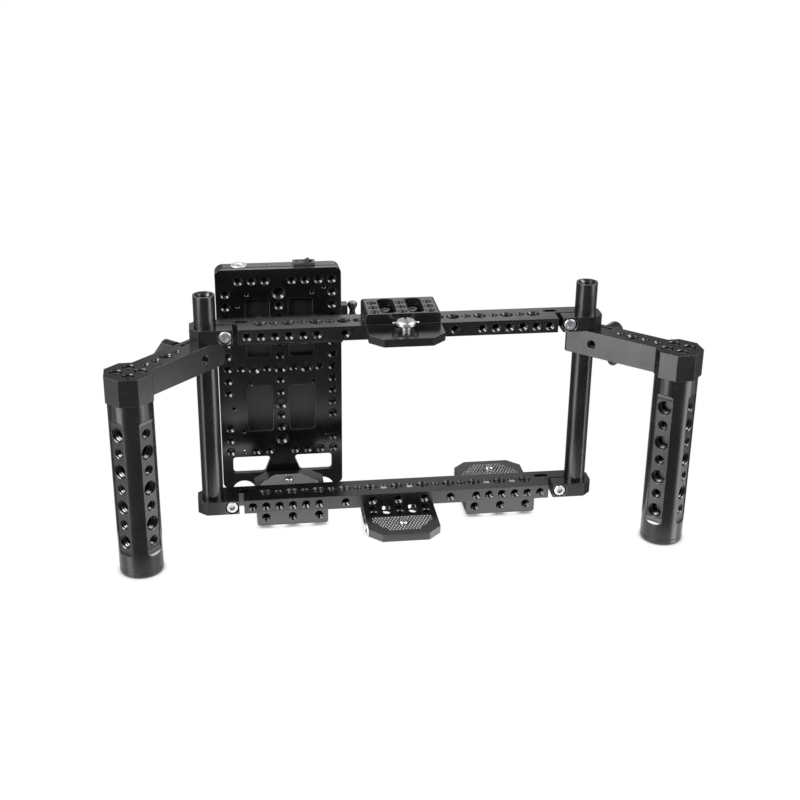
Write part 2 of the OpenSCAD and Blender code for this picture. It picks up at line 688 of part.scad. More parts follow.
// Grip under the head: first says whether holes start large, lean turns the flats about the grip's axis
module grip(first, lean) {
    top = -arm_h - head_drop;
    mid = top - grip_l / 2;
    flat_h = (grip_holes - 1) * grip_pitch + 2 * flat_over;
    translate([arm_l, 0, 0]) difference() {
        translate([0, 0, top - grip_l]) cylinder(r = grip_r, h = grip_l);
        for (f = [0 : 3]) rotate([0, 0, f * 90 + lean]) {
            translate([flat_r + flat_end_r + 1, flat_w / 2, mid]) rotate([90, 0, 0]) linear_extrude(flat_w)
                round_rect(2 * flat_end_r + 2, flat_h, flat_end_r);
            for (k = [0 : grip_holes - 1])
                translate([flat_r, 0, mid + (k - (grip_holes - 1) / 2) * grip_pitch]) rotate([0, 90, 0])
                    drill((k + f + first) % 2 == 0 ? grip_large_r : grip_small_r, blind_depth, 0.5);
        }
        for (sx = [-1, 1], sy = [-1, 1]) translate([sx * head_screw_xy, sy * head_screw_xy, top])
            drill(1.95, 11, 0.2);
        translate([0, 0, top - grip_l - over]) cylinder(r = 5 + fit, h = 8 + over);
    }
}

module cap() {
    z0 = -arm_h - head_drop - grip_l;
    r = grip_r;
    q = cap_round;
    translate([arm_l, 0, z0 - cap_h]) rotate_extrude() {
        square([r - q, cap_h]);
        translate([0, q]) square([r, cap_h - q - 0.5]);
        translate([r - q, q]) circle(r = q);
        square([r - 0.6, cap_h]);
        square([5, cap_h + 7.5]);
    }
}

module head_screws() {
    len_in = arm_h + head_drop - head_screw_seat + 9;
    translate([arm_l, 0, -head_screw_seat]) for (sx = [-1, 1], sy = [-1, 1])
        translate([sx * head_screw_xy, sy * head_screw_xy, 0]) difference() {
            union() {
                translate([0, 0, -len_in]) cylinder(r = 1.9, h = len_in + 0.5);
                cylinder(r = head_screw_r, h = 3.6);
            }
            translate([0, 0, 1.6]) cylinder(r = 1.75, h = 3, $fn = 6);
        }
}

// Plan of the battery plate in x and z, laid in the plane of its front face
module batt_plane() { translate([batt_x, 0, 0]) rotate([90, 0, 0]) children(); }

function grid_at(row, col) = [col * grid_pitch, grid_z - row * grid_pitch];

module front_plate() {
    w = batt_w / 2;
    mid = (batt_top + batt_low) / 2;
    cut_low = batt_low + rail_h;
    cut_top = cut_low + cutout_h;
    color(black) translate([0, batt_y, 0]) difference() {
        translate([0, front_t, 0]) batt_plane() linear_extrude(front_t) difference() {
            translate([0, mid]) round_rect(batt_w, batt_h, front_round);
            for (s = [-1, 1]) {
                translate([s * pocket_x, grid_z - 3.77 * grid_pitch])
                    round_rect(pocket_w, pocket_h, pocket_round);
                translate([s * pocket_x, grid_z - 10.4 * grid_pitch])
                    round_rect(low_pocket_w, low_pocket_h, pocket_round);
                round_outline([[s * web_top_w, cut_top], [s * (w - post_w), cut_top],
                    [s * (w - post_w), cut_low], [s * web_low_w, cut_low]], pocket_round);
                translate([s * (w - scallop_x), batt_low + scallop_d - scallop_r]) circle(r = scallop_r);
            }
        }
        for (g = grid_small, c = g[1]) translate([batt_x + grid_at(g[0], c)[0], 0, grid_at(g[0], c)[1]])
            rotate([90, 0, 0]) drill(small_r, front_t + over);
        for (g = grid_large, c = g[1]) translate([batt_x + grid_at(g[0], c)[0], 0, grid_at(g[0], c)[1]])
            rotate([90, 0, 0]) drill(large_r, front_t + over);
        for (t = tiny_at) translate([batt_x + t[0] * grid_pitch, 0, grid_z - t[1] * grid_pitch])
            rotate([90, 0, 0]) drill(tiny_r, front_t + over, 0.3);
    }
}

// Wedge outline, narrowed by lip, open upwards by rise
module wedge(lip, rise) {
    a = wedge_top - lip;
    b = wedge_low - lip;
    low = wedge_z - wedge_h + lip;
    polygon([[-a, wedge_z], [-a, wedge_z + rise], [a, wedge_z + rise], [a, wedge_z], [b, low], [-b, low]]);
}

module housing() {
    mid = (batt_top + house_low) / 2;
    color(dark) difference() {
        union() {
            translate([0, house_y, 0]) batt_plane() linear_extrude(groove_w) translate([0, mid])
                round_rect(batt_w - 2 * groove_d, house_h - 2 * groove_d, house_round);
            translate([0, rear_y, 0]) batt_plane() linear_extrude(house_t) translate([0, mid])
                round_rect(batt_w, house_h, house_round);
        }
        translate([0, rear_y + over, 0]) batt_plane() linear_extrude(wedge_d + over) wedge(0, 12);
        translate([switch_x, lock_y, batt_top - 9]) linear_extrude(9 + over)
            round_rect(switch_l - 2.8, switch_d - 1.6, 1);
        translate([jack_x, lock_y, batt_top - 11]) cylinder(r = 4 + fit, h = 11 + over);
        translate([tongue_end - 1, tongue_y - 1.3, tongue_low])
            cube([batt_right - tongue_end + 2, 2.6, tongue_gap]);
        for (p = frame_points) translate([batt_x + p[0], rear_y, p[1]]) rotate([-90, 0, 0]) drill(1.3, 4, 0.2);
    }
}

frame_points = [for (s = [-1, 1]) for (k = [0 : 2]) [s * (wedge_top + 5), wedge_z - 6 - k * (wedge_h - 8) / 2]];

module wedge_frame() {
    w = wedge_top + frame_side;
    color(dark) translate([0, rear_y + frame_t, 0]) difference() {
        batt_plane() linear_extrude(frame_t) difference() {
            translate([0, wedge_z - wedge_h / 2 + 2]) round_rect(2 * w, wedge_h + frame_over, 4);
            wedge(wedge_lip, frame_over);
        }
        for (p = frame_points) translate([batt_x + p[0], 0, p[1]]) rotate([-90, 0, 0])
            drill(1.5, frame_t + over, 1.2);
    }
}

module frame_screws() {
    color(silver) for (p = frame_points) translate([batt_x + p[0], rear_y + frame_t, p[1]])
        rotate([-90, 0, 0]) difference() {
            union() {
                translate([0, 0, -frame_t - 3.5]) cylinder(r = 1.25, h = frame_t + 3.5 - 0.6);
                translate([0, 0, -1.3]) cylinder(r1 = 1.25, r2 = 2.55, h = 1.3);
            }
            translate([0, 0, -0.8]) cylinder(r = 1, h = 1.5, $fn = 6);
        }
}

contact_z = wedge_z - wedge_h + 12;
module contact_block() {
    color(black) difference() {
        translate([batt_x - 12, rear_y - wedge_d, contact_z - 4.5]) cube([24, wedge_d - 0.8, 9]);
        for (k = [-2 : 2]) if (k != 0) translate([batt_x + k * 4.4, rear_y - 0.8, contact_z])
            rotate([-90, 0, 0]) drill(1 + fit, 3, 0.2);
    }
}

module contact_pins() {
    color([0.8, 0.65, 0.3]) for (k = [-2 : 2]) if (k != 0)
        translate([batt_x + k * 4.4, rear_y - 3.8, contact_z]) rotate([-90, 0, 0]) {
            cylinder(r = 1, h = 4.6);
            translate([0, 0, 4.6]) sphere(r = 1);
        }
}

module dc_jack() {
    body_r = 4;
    color(silver) translate([jack_x, lock_y, batt_top]) difference() {
        union() {
            translate([0, 0, -10]) cylinder(r = body_r, h = 10.5);
            cylinder(r = jack_r, h = 0.5);
            translate([0, 0, 0.5]) cylinder(r1 = jack_r, r2 = jack_r - 0.3, h = 0.3);
        }
        translate([0, 0, -7]) cylinder(r = jack_bore, h = 7.8 + over);
        translate([0, 0, 0.3]) cylinder(r1 = jack_bore, r2 = jack_bore + 0.5 + over, h = 0.5 + over);
    }
}

module switch_bezel() {
    color(black) translate([switch_x, lock_y, batt_top]) difference() {
        union() {
            linear_extrude(1.8) round_rect(switch_l, switch_d, 1.2);
            translate([0, 0, -8]) linear_extrude(9) round_rect(switch_l - 3, switch_d - 1.8, 0.9);
        }
        translate([0, 0, -6.5]) linear_extrude(12) round_rect(rocker_l, rocker_w, 0.6);
        for (s = [-1, 1]) translate([0, s * (rocker_w / 2 - 0.2), -0.4]) rotate([-s * 90, 0, 0])
            cylinder(r = 0.85, h = 0.8);
    }
}

// Rocker seen from the front: a shallow V that tips about a cross pin
rocker_turn = 15;
module rocker() {
    h = rocker_l / 2 - 0.8;
    w = rocker_w - 0.5;
    color(dark) translate([switch_x, lock_y, batt_top - 0.4]) rotate([0, -rocker_turn, 0]) {
        translate([0, w / 2, 0]) rotate([90, 0, 0]) linear_extrude(w)
            polygon([[0.3 - h, -1], [-h, 2.6], [0.6 - h, 3.2], [0, 2.3],
                [h - 0.6, 3.2], [h, 2.6], [h - 0.3, -1], [0, -3.4]]);
        for (s = [-1, 1]) translate([0, s * (w / 2 - 0.05), 0]) rotate([-s * 90, 0, 0])
            cylinder(r = 0.75, h = 0.75);
    }
}

module carrier() {
    x0 = batt_x - carrier_w / 2;
    y0 = bar_d / 2;
    color(black) difference() {
        union() {
            translate([x0, y0, web_top - web_t]) cube([carrier_w, carrier_t, web_drop + web_t - 1.9]);
            translate([x0, y0, web_top - web_t]) cube([carrier_w, batt_stand, web_t]);
            translate([x0, batt_y - carrier_t, web_top - carrier_low])
                cube([carrier_w, carrier_t, carrier_low]);
        }
        for (i = carrier_idx) translate([i * hole_pitch, y0 + carrier_t, bar_rise - bar_h / 2])
            rotate([-90, 0, 0]) drill(small_r + play, carrier_t + over, 0.2);
        for (c = [-4, 4]) translate([batt_x + c * grid_pitch, batt_y - carrier_t, carrier_z])
            rotate([90, 0, 0]) drill(small_r + play, carrier_t + over, 0.2);
    }
}

carrier_idx = [round(batt_x / hole_pitch) - 2, round(batt_x / hole_pitch) + 2];
module carrier_screw(depth) {
    difference() {
        union() {
            translate([0, 0, -depth]) cylinder(r = small_r - fit, h = depth + 0.5);
            cylinder(r = 3.6, h = 2.8);
        }
        translate([0, 0, 1]) cylinder(r = 1.75, h = 3, $fn = 6);
    }
}
module carrier_screws() {
    color(black) {
        for (i = carrier_idx) translate([i * hole_pitch, bar_d / 2 + carrier_t, bar_rise - bar_h / 2])
            rotate([-90, 0, 0]) carrier_screw(carrier_t + blind_depth - 1);
        for (c = [-4, 4]) translate([batt_x + c * grid_pitch, batt_y - carrier_t, carrier_z])
            rotate([90, 0, 0]) carrier_screw(carrier_t + front_t - 0.5);
    }
}

// Lock beside the housing: block with a foot that guides the pull knob
module lock_block() {
    color(dark) difference() {
        union() {
            translate([batt_right, house_y, lock_low]) cube([lock_w, house_t, lock_h]);
            translate([batt_right, house_y, lock_low])
                cube([lock_w + 2 * knob_r + part_gap, house_t, foot_top - lock_low]);
        }
        translate([knob_x, lock_y, lock_low - over]) cylinder(r = stem_r + fit, h = lock_h);
        translate([knob_x, lock_y, foot_top - 4.6]) cylinder(r = stem_r + 1.2, h = 4);
        translate([batt_right - over, tongue_y - 1.3, tongue_low])
            cube([knob_x - batt_right + over, 2.6, tongue_gap]);
    }
}

// Pull knob with its stem and the tongue that reaches into the wedge recess
module lock_knob() {
    color(black) {
        translate([knob_x, lock_y, foot_top + part_gap]) rotate_extrude()
            polygon([[0, 0], [knob_foot_r, 0], [knob_foot_r, waist_low / 3], [waist_r, waist_low],
                [waist_r, waist_high], [knob_r, knob_h - knob_rim], [knob_r, knob_h - knob_edge],
                [knob_r - knob_edge, knob_h], [0, knob_h]]);
        translate([knob_x, lock_y, tongue_low]) cylinder(r = stem_r, h = foot_top - tongue_low + 1);
        translate([tongue_end, tongue_y - 1, tongue_low + part_gap]) cube([knob_x - tongue_end, 2, tongue_t]);
    }
}

module lock_cap() {
    color(silver) translate([knob_x, lock_y, foot_top + part_gap + knob_h])
        cylinder(r = knob_r - 0.9, h = 0.6);
}

// Lock spring, drawn at its closed length under the foot's roof
module lock_spring() {
    color(silver) translate([knob_x, lock_y, foot_top - 4.5]) difference() {
        cylinder(r = stem_r + 1.1, h = 3.85);
        translate([0, 0, -over]) cylinder(r = stem_r + 0.15, h = 5);
    }
}

module bottom_bar() { color(black) bar(); }
module top_bar() { color(black) translate([0, 0, bar_rise]) bar(); }
module left_rod() { color(black) translate([-rod_x, 0, 0]) rod(); }
module right_rod() { color(black) translate([rod_x, 0, 0]) rod(); }
module bottom_clamp_screws() { color(silver) clamp_screws(); }
module top_clamp_screws() { color(silver) translate([0, 0, bar_rise]) clamp_screws(); }
module top_support() { color(black) on_top() support(); }
module front_support() { color(black) at_front() support(); }
module left_support() { color(black) at_rear(-side_idx) support(); }
module right_support() { color(black) at_rear(side_idx) support(); }
module top_pad() { color(rubber) on_top() pad(); }
module front_pad() { color(rubber) at_front() pad(); }
module left_pad() { color(rubber) at_rear(-side_idx) pad(); }
module right_pad() { color(rubber) at_rear(side_idx) pad(); }
module top_bolts() { color(silver) on_top() bolts(); }
module front_bolts() { color(silver) at_front() bolts(); }
module left_bolts() { color(silver) at_rear(-side_idx) bolts(); }
module right_bolts() { color(silver) at_rear(side_idx) bolts(); }
module top_screw() { color(silver) on_top() captive_screw(screw_travel); }
module front_screw() { color(silver) at_front() captive_screw(front_lift); }
module left_screw() { color(silver) at_rear(-side_idx) captive_screw(left_lift); }
module right_screw() { color(silver) at_rear(side_idx) captive_screw(right_lift); }
module top_ring() { color(silver) on_top() fold_ring(screw_travel, top_ring_fall); }
module front_ring() { color(silver) at_front() fold_ring(front_lift); }
module left_ring() { color(silver) at_rear(-side_idx) fold_ring(left_lift); }
module right_ring() { color(silver) at_rear(side_idx) fold_ring(right_lift); }
module left_arm() { color(black) left_side() arm(); }
module right_arm() { color(black) right_side() arm(); }
module left_lever() { color(black) left_side() lever(left_lever_turn); }
module right_lever() { color(black) right_side() lever(right_lever_turn); }
module left_grip() { color(black) left_side() grip(0, 0); }
module right_grip() { color(black) right_side() grip(1, -right_lean); }
module left_cap() { color(black) left_side() cap(); }
module right_cap() { color(black) right_side() cap(); }
module left_head_screws() { color(black) left_side() head_screws(); }
module right_head_screws() { color(black) right_side() head_screws(); }

bottom_bar();
left_rod();
right_rod();
bottom_clamp_screws();
top_bar();
top_clamp_screws();
top_support();
front_support();
left_support();
right_support();
top_pad();
front_pad();
left_pad();
right_pad();
top_bolts();
front_bolts();
left_bolts();
right_bolts();
top_screw();
front_screw();
left_screw();
right_screw();
top_ring();
front_ring();
left_ring();
right_ring();
left_arm();
right_arm();
left_lever();
right_lever();
left_grip();
right_grip();
left_cap();
right_cap();
left_head_screws();
right_head_screws();
front_plate();
housing();
wedge_frame();
frame_screws();
contact_block();
contact_pins();
dc_jack();
switch_bezel();
rocker();
carrier();
carrier_screws();
lock_block();
lock_knob();
lock_cap();
lock_spring();
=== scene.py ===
import json
import math

import bpy
import numpy as np
from mathutils import Matrix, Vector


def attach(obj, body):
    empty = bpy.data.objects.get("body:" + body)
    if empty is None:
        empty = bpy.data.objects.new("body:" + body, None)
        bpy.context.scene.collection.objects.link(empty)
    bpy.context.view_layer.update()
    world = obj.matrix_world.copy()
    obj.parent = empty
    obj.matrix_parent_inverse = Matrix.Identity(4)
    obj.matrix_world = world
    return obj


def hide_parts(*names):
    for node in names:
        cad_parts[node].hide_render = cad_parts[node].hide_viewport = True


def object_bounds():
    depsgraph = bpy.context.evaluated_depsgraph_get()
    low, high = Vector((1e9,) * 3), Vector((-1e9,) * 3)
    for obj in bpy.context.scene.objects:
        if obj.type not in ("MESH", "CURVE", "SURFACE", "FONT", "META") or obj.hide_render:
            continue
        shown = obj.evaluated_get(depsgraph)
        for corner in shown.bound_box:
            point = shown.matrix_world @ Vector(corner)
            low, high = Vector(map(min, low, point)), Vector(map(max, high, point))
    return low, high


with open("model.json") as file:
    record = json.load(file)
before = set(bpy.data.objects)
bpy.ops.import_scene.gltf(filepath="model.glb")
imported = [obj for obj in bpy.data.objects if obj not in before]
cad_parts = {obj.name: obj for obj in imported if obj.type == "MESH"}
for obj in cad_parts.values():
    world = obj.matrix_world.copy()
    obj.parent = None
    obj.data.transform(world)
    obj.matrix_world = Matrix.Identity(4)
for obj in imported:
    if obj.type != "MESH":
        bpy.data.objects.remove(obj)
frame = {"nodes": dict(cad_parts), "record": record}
cad_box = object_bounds()
nodes = frame["nodes"]
MM = 0.001
scene = bpy.context.scene
scene.view_settings.view_transform = "Standard"

# node settings that are used more than once
SMOOTH = {"interpolation_type": "SMOOTHSTEP"}
COLOURS = {"data_type": "RGBA"}
DOT = {"operation": "DOT_PRODUCT"}
TIMES = {"operation": "MULTIPLY"}
LARGER = {"operation": "MAXIMUM"}
WHITE = (1, 1, 1, 1)


# Materials
def linear(code):
    """sRGB hex code as linear red, green, blue and alpha 1: c / 12.92 up to 0.04045, and above it
    (c + 0.055) / 1.055 to the power 2.4."""
    c = np.array([int(code[i:i + 2], 16) for i in (1, 3, 5)]) / 255
    c = np.where(c <= 0.04045, c / 12.92, ((c + 0.055) / 1.055) ** 2.4)
    return (*c.tolist(), 1.0)


def add(tree, kind, settings=None, stops=(), **inputs):
    """Adds one node. settings are its properties, stops are a colour ramp's two (place, hex code),
    and inputs are values, nodes or (node, output) pairs, by an input's name or by its place as
    in_0, in_1. A node on its own gives its first output."""
    n = tree.nodes.new("ShaderNode" + kind)
    for key, value in (settings or {}).items():
        setattr(n, key, value)
    for i, (place, code) in enumerate(stops):
        n.color_ramp.elements[i].position = place
        n.color_ramp.elements[i].color = linear(code)
    for key, value in inputs.items():
        socket = n.inputs[int(key[3:]) if key.startswith("in_") else key.replace("_", " ")]
        if isinstance(value, bpy.types.Node):
            value = (value, 0)
        if isinstance(value, tuple) and isinstance(value[0], bpy.types.Node):
            tree.links.new(value[0].outputs[value[1]], socket)
        else:
            socket.default_value = value
    return n


def new_material(name):
    """Material with an empty node tree, and that tree."""
    m = bpy.data.materials.new(name)
    m.use_nodes = True
    m.node_tree.nodes.clear()
    return m, m.node_tree


def soft_region(tree, *edges):
    """Product of smooth steps. Each edge is a source, the values of it at which the step starts and
    ends, and what the step is before and after."""
    share = None
    for source, start, end, before, after in edges:
        edge = add(tree, "MapRange", SMOOTH, Value=source, From_Min=start, From_Max=end,
                   To_Min=before, To_Max=after)
        share = edge if share is None else add(tree, "Math", TIMES, in_0=share, in_1=edge)
    return share


def black_anodised(name="black_anodised", rough=0.25, dark="#080809", mid="#0D0D0E", edge="#4E4E51",
                   milled=None):
    """Anodised aluminium, bead blasted and dyed black: a thin clear oxide over black, so it is dark
    face-on and pale at a low angle. Its edges are painted paler, partly as rubbing and partly as a
    painted highlight; an edge is where the normal that is rounded over 0.35 mm leaves the true one.
    milled is a depth along Y in mm and the paler tone of the milled floors behind it."""
    m, t = new_material(name)
    place = (add(t, "TexCoord"), "Object")
    # clouds of handling are 17 mm wide; blast grit is 0.1 mm, drawn at 0.36 mm to show
    cloud = add(t, "TexNoise", Vector=place, Scale=1 / (16.667 * MM), Detail=4.0)
    grit = add(t, "TexNoise", Vector=place, Scale=1 / (0.35714 * MM), Detail=2.0)
    face = (add(t, "ValToRGB", Fac=(cloud, "Fac"), stops=[(0.3, dark), (0.7, mid)]), "Color")
    if milled:
        depth, tone = milled
        y = (add(t, "SeparateXYZ", Vector=place), "Y")
        deep = soft_region(t, (y, depth * MM, (depth + 0.2) * MM, 0.0, 1.0))
        face = (add(t, "Mix", COLOURS, in_0=deep, in_6=face, in_7=linear(tone)), 2)
    soft = add(t, "Bevel", {"samples": 6}, Radius=0.35 * MM)
    true = (add(t, "NewGeometry"), "Normal")
    agree = (add(t, "VectorMath", DOT, in_0=soft, in_1=true), "Value")
    # painted highlight along edges, partly wear: where the rounded normal leaves the true one the colour
    # turns paler
    rubbed_and_highlit_edges = add(t, "MapRange", Value=agree, From_Min=0.995, From_Max=0.80)
    patch = add(t, "MapRange", Value=(cloud, "Fac"), From_Min=0.35, From_Max=0.65, To_Min=0.25, To_Max=0.8)
    rubbing_and_highlight = add(t, "Math", TIMES, in_0=rubbed_and_highlit_edges, in_1=patch)
    colour = (add(t, "Mix", COLOURS, in_0=rubbing_and_highlight, in_6=face, in_7=linear(edge)), 2)
    bump = add(t, "Bump", Strength=0.05, Distance=0.1 * MM, Height=(grit, "Fac"), Normal=soft)
    dull = add(t, "MapRange", Value=(cloud, "Fac"), From_Min=0.3, From_Max=0.7, To_Min=rough - 0.03,
               To_Max=rough + 0.04)
    p = add(t, "BsdfPrincipled", Base_Color=colour, Roughness=dull, IOR=1.5, Normal=bump)
    add(t, "OutputMaterial", Surface=p)
    return m


def bright_steel(name="bright_plated_steel", tone="#BEBEC0", rough=0.42):
    """Turned and plated metal: bright, with a fine mottled sheen 2.9 mm wide and soft edges."""
    m, t = new_material(name)
    place = (add(t, "TexCoord"), "Object")
    cloud = add(t, "TexNoise", Vector=place, Scale=1 / (2.85714 * MM), Detail=4.0)
    colour = add(t, "ValToRGB", Fac=(cloud, "Fac"), stops=[(0.3, "#A6A6A9"), (0.7, tone)])
    soft = add(t, "Bevel", {"samples": 6}, Radius=0.3 * MM)
    bump = add(t, "Bump", Strength=0.06, Distance=0.1 * MM, Height=(cloud, "Fac"), Normal=soft)
    dull = add(t, "MapRange", Value=(cloud, "Fac"), From_Min=0.3, From_Max=0.7, To_Min=rough - 0.05,
               To_Max=rough + 0.08)
    p = add(t, "BsdfPrincipled", Base_Color=colour, Metallic=1.0, Roughness=dull, Normal=bump)
    add(t, "OutputMaterial", Surface=p)
    return m


def moulded(name, dark, mid, rough, grain_mm):
    """Moulded ABS: an etched grain of grain_mm, clouds of tone 12.5 mm wide and soft edges."""
    m, t = new_material(name)
    place = (add(t, "TexCoord"), "Object")
    grain = add(t, "TexNoise", Vector=place, Scale=1 / (grain_mm * MM), Detail=3.0)
    cloud = add(t, "TexNoise", Vector=place, Scale=1 / (12.5 * MM), Detail=3.0)
    colour = add(t, "ValToRGB", Fac=(cloud, "Fac"), stops=[(0.3, dark), (0.7, mid)])
    soft = add(t, "Bevel", {"samples": 4}, Radius=0.3 * MM)
    bump = add(t, "Bump", Strength=0.08, Distance=0.2 * MM, Height=(grain, "Fac"), Normal=soft)
    p = add(t, "BsdfPrincipled", Base_Color=colour, Roughness=rough, IOR=1.5, Normal=bump)
    add(t, "OutputMaterial", Surface=p)
    return m


# slant of the pads' two sets of grooves in radians, their pitch in mm, and how steep a groove's wall is;
# the real pitch is about 1.1 mm, drawn at 2.1 mm to show
KNURL_ANGLE, KNURL_MM, KNURL_SLOPE = 0.4436, 2.1, 1.05


def knurled_rubber():
    """Ribbed rubber, with its lands painted pale as a highlight and its grooves painted dark as shade: the
    share of land is the lower, for a and for -a, of 2 slope |frac((x cos a + y sin a) / pitch) - 1/2| over
    Object coordinates."""
    m, t = new_material("pad_rubber")
    place = (add(t, "TexCoord"), "Object")
    lands = []
    for angle in (KNURL_ANGLE, -KNURL_ANGLE):
        across = [math.cos(angle) / (KNURL_MM * MM), math.sin(angle) / (KNURL_MM * MM), 0.0]
        wave = (add(t, "VectorMath", DOT, in_0=place, in_1=across), "Value")
        part = add(t, "Math", {"operation": "FRACT"}, in_0=wave)
        part = add(t, "Math", {"operation": "SUBTRACT"}, in_0=part, in_1=0.5)
        part = add(t, "Math", {"operation": "ABSOLUTE"}, in_0=part)
        lands.append(add(t, "Math", TIMES, in_0=part, in_1=2 * KNURL_SLOPE))
    share = add(t, "Math", {"operation": "MINIMUM"}, in_0=lands[0], in_1=lands[1])
    # painted light: the lands are painted pale as a highlight and the grooves dark as shade
    colour = add(t, "ValToRGB", Fac=share, stops=[(0.28, "#040404"), (0.75, "#8C8C8E")])
    p = add(t, "BsdfPrincipled", Base_Color=colour, Roughness=0.45, IOR=1.5)
    add(t, "OutputMaterial", Surface=p)
    return m


# aluminium, blasted and anodised: a dark satin with edges painted pale, partly wear and partly a painted
# highlight, on bars, rods, brackets and arms
ANODISED = black_anodised()
# the same with a finer blast: deeper black, with paler milled floors and edges painted brighter, partly
# wear and partly a painted highlight, on the battery plate
PLATE = black_anodised("black_anodised_plate", 0.2, "#040404", "#070707", "#66666A", (57.6, "#1C1C1D"))
# the same, on cut threads: smooth, and each crest painted pale as a line of light, partly bare worn metal
# and partly a painted highlight
THREAD = black_anodised("black_anodised_thread", 0.2, "#0A0A0B", "#101011", "#5C5C60")
# steel blackened in an oxide bath: a little greyer and duller, on levers and head screws
BLACK_STEEL = black_anodised("black_oxide_steel", 0.3, "#0C0C0C", "#141414", "#5A5A5C")
# nickel-plated steel: pale and soft, on clamp screws, rings, the lock's cap and the top bracket's screws
STEEL = bright_steel()
# gold-plated brass: warm and sharp, on the contact pins
BRASS = bright_steel("gold_plated_brass", "#D9B56A", 0.2)
# bare turned steel: darker than the plated, on the captive screws under the bottom bar
TIP = bright_steel("turned_steel_tips", "#98989B", 0.36)
# zinc-plated steel: near white and sharp, on the bolts under the bottom bar
BOLT = bright_steel("zinc_plated_bolts", "#F2F2F4", 0.2)
# brass with satin nickel: white and diffuse, on the power jack
SATIN = bright_steel("satin_nickel_brass", "#E6E6E8", 0.5)
# ribbed rubber: ribs painted pale as a highlight over grooves painted dark as shade, on the pads
RUBBER = knurled_rubber()
# ABS with an etched grain: black with a soft sheen on the housing, greyer and duller on the switch
HOUSING = moulded("housing_plastic", "#111112", "#161617", 0.27, 0.5)
SWITCH = moulded("switch_plastic", "#242426", "#2C2C2E", 0.4, 0.4)
SLOTS = {"black_anodised": ANODISED, "bright_steel": STEEL, "black_steel": BLACK_STEEL,
         "pad_rubber": RUBBER, "housing_plastic": HOUSING, "switch_plastic": SWITCH,
         "contact_brass": BRASS}
SPECIAL = {"front_plate": PLATE, "dc_jack": SATIN}
for place in ("front", "left", "right"):
    SPECIAL[place + "_bolts"], SPECIAL[place + "_screw"] = BOLT, TIP
for part in frame["record"]["subparts"]:
    ob = nodes[part["node"]]
    ob.data.materials.clear()
    ob.data.materials.append(SPECIAL.get(part["node"], SLOTS[part["material_slot"]]))


# Surfaces
def grid_faces(m, n):
    """Quads of an m by n grid of points numbered row by row: i, i + 1, i + n + 1, i + n."""
    i = np.arange((m - 1) * n).reshape(m - 1, n)[:, :-1]
    return np.stack([i, i + 1, i + n + 1, i + n], -1).reshape(-1, 4)


def piece(name, parts, material, body, smooth=False):
    """One object from a list of (points in mm, quads), riding on a body."""
    points, quads, start = [], [], 0
    for p, q in parts:
        points.append(p.reshape(-1, 3))
        quads.append(q + start)
        start += p.size // 3
    points = np.concatenate(points) * MM
    quads = np.concatenate(quads)
    mesh = bpy.data.meshes.new(name)
    mesh.from_pydata(points.tolist(), [], quads.tolist())
    mesh.validate()
    mesh.polygons.foreach_set("use_smooth", np.full(len(mesh.polygons), smooth))
    mesh.materials.append(material)
    ob = bpy.data.objects.new(name, mesh)
    scene.collection.objects.link(ob)
    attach(ob, body)
    return ob


def basis(axis):
    """Three columns x, y, axis: a right-handed frame on a unit axis, x square to a slanted direction."""
    z = np.array(axis, float)
    x = np.cross(z, [0.3, 0.5, 0.81])
    x = x / np.linalg.norm(x)
    return np.stack([x, np.cross(z, x), z], 1)


# how far a ridge's foot lies inside the wall in mm, and half a ridge's width as a share of its pitch
SUNK, FLANK = 0.02, 0.42


def thread(at, axis, size, depth, turns=2.6, start=0.5, steps=14):
    """Ridge of a thread behind the end of a hole or, with a negative height, of a screw. size is its
    radius, pitch and height. A point at angle a and profile place j is (radius_j cos a,
    -radius_j sin a, -start - pitch (1/2 + a / 2 pi) + rise_j), a right-handed screw going in. The
    crest is a line, so the ridge has two flanks."""
    r, pitch, height = size
    turns = min(turns, (depth - start) / pitch)
    a = np.linspace(0, 2 * np.pi * turns, int(steps * turns) + 1)[:, None]
    root = r + math.copysign(SUNK, height)
    radius = np.array([root, r - height, r - height, root])[None]
    rise = np.array([FLANK, 0, 0, -FLANK])[None] * pitch
    z = -start - 0.5 * pitch - pitch * a / (2 * np.pi) + rise
    local = np.stack([radius * np.cos(a), -radius * np.sin(a), z + 0 * radius], -1)
    quads = grid_faces(len(a), 4).reshape(-1, 3, 4)[:, [0, 2]].reshape(-1, 4)
    return local @ basis(axis).T + np.array(at), quads if height > 0 else quads[:, ::-1]


def revolved(profile, at, axis, steps=40):
    """Surface of revolution: the point at angle a and profile place j is (r_j cos a, r_j sin a, z_j);
    it faces outwards when the profile runs from the axis outwards and down."""
    r, z = np.array(profile, float).T
    a = np.linspace(0, 2 * np.pi, steps + 1)[:, None]
    local = np.stack([r * np.cos(a), r * np.sin(a), z + 0 * a], -1)
    return local @ basis(axis).T + np.array(at), grid_faces(steps + 1, len(r))


# Threaded holes and fittings, in mm
PITCH = 9.5
BAR_H, BAR_HALF, BAR_RISE = 10.2, 11.5, 129.3
ROD_X, ROD_TOP, ROD_DEPTH = 132.3, 151.4, 18
# radius, pitch and ridge height of each thread: 1/4 inch and 3/8 inch, in plates and in the grips
SMALL, LARGE = (2.6, 1.27, 0.54), (4.0, 1.59, 0.68)
GRIP_SMALL, GRIP_LARGE = (3.2, 1.27, 0.62), (4.75, 1.59, 0.78)
ROD_THREAD, TIP_THREAD = (5.2, 1.75, 0.6), (3.1, 1.27, -0.17)
BLIND, THROUGH = 6.0, 9.0
# holes of a bar, counted from its middle: front row, back row, and those under bolts or the carrier
FRONT_HOLES = [i for i in range(-11, 12) if abs(i) >= 6 or i % 2 == 0]
BACK_HOLES = [i for i in FRONT_HOLES if abs(i) <= 10]
BARS = {"cage": (0.0, (1, 7, 9), ()), "top_frame": (BAR_RISE, (1,), (-10, -6))}
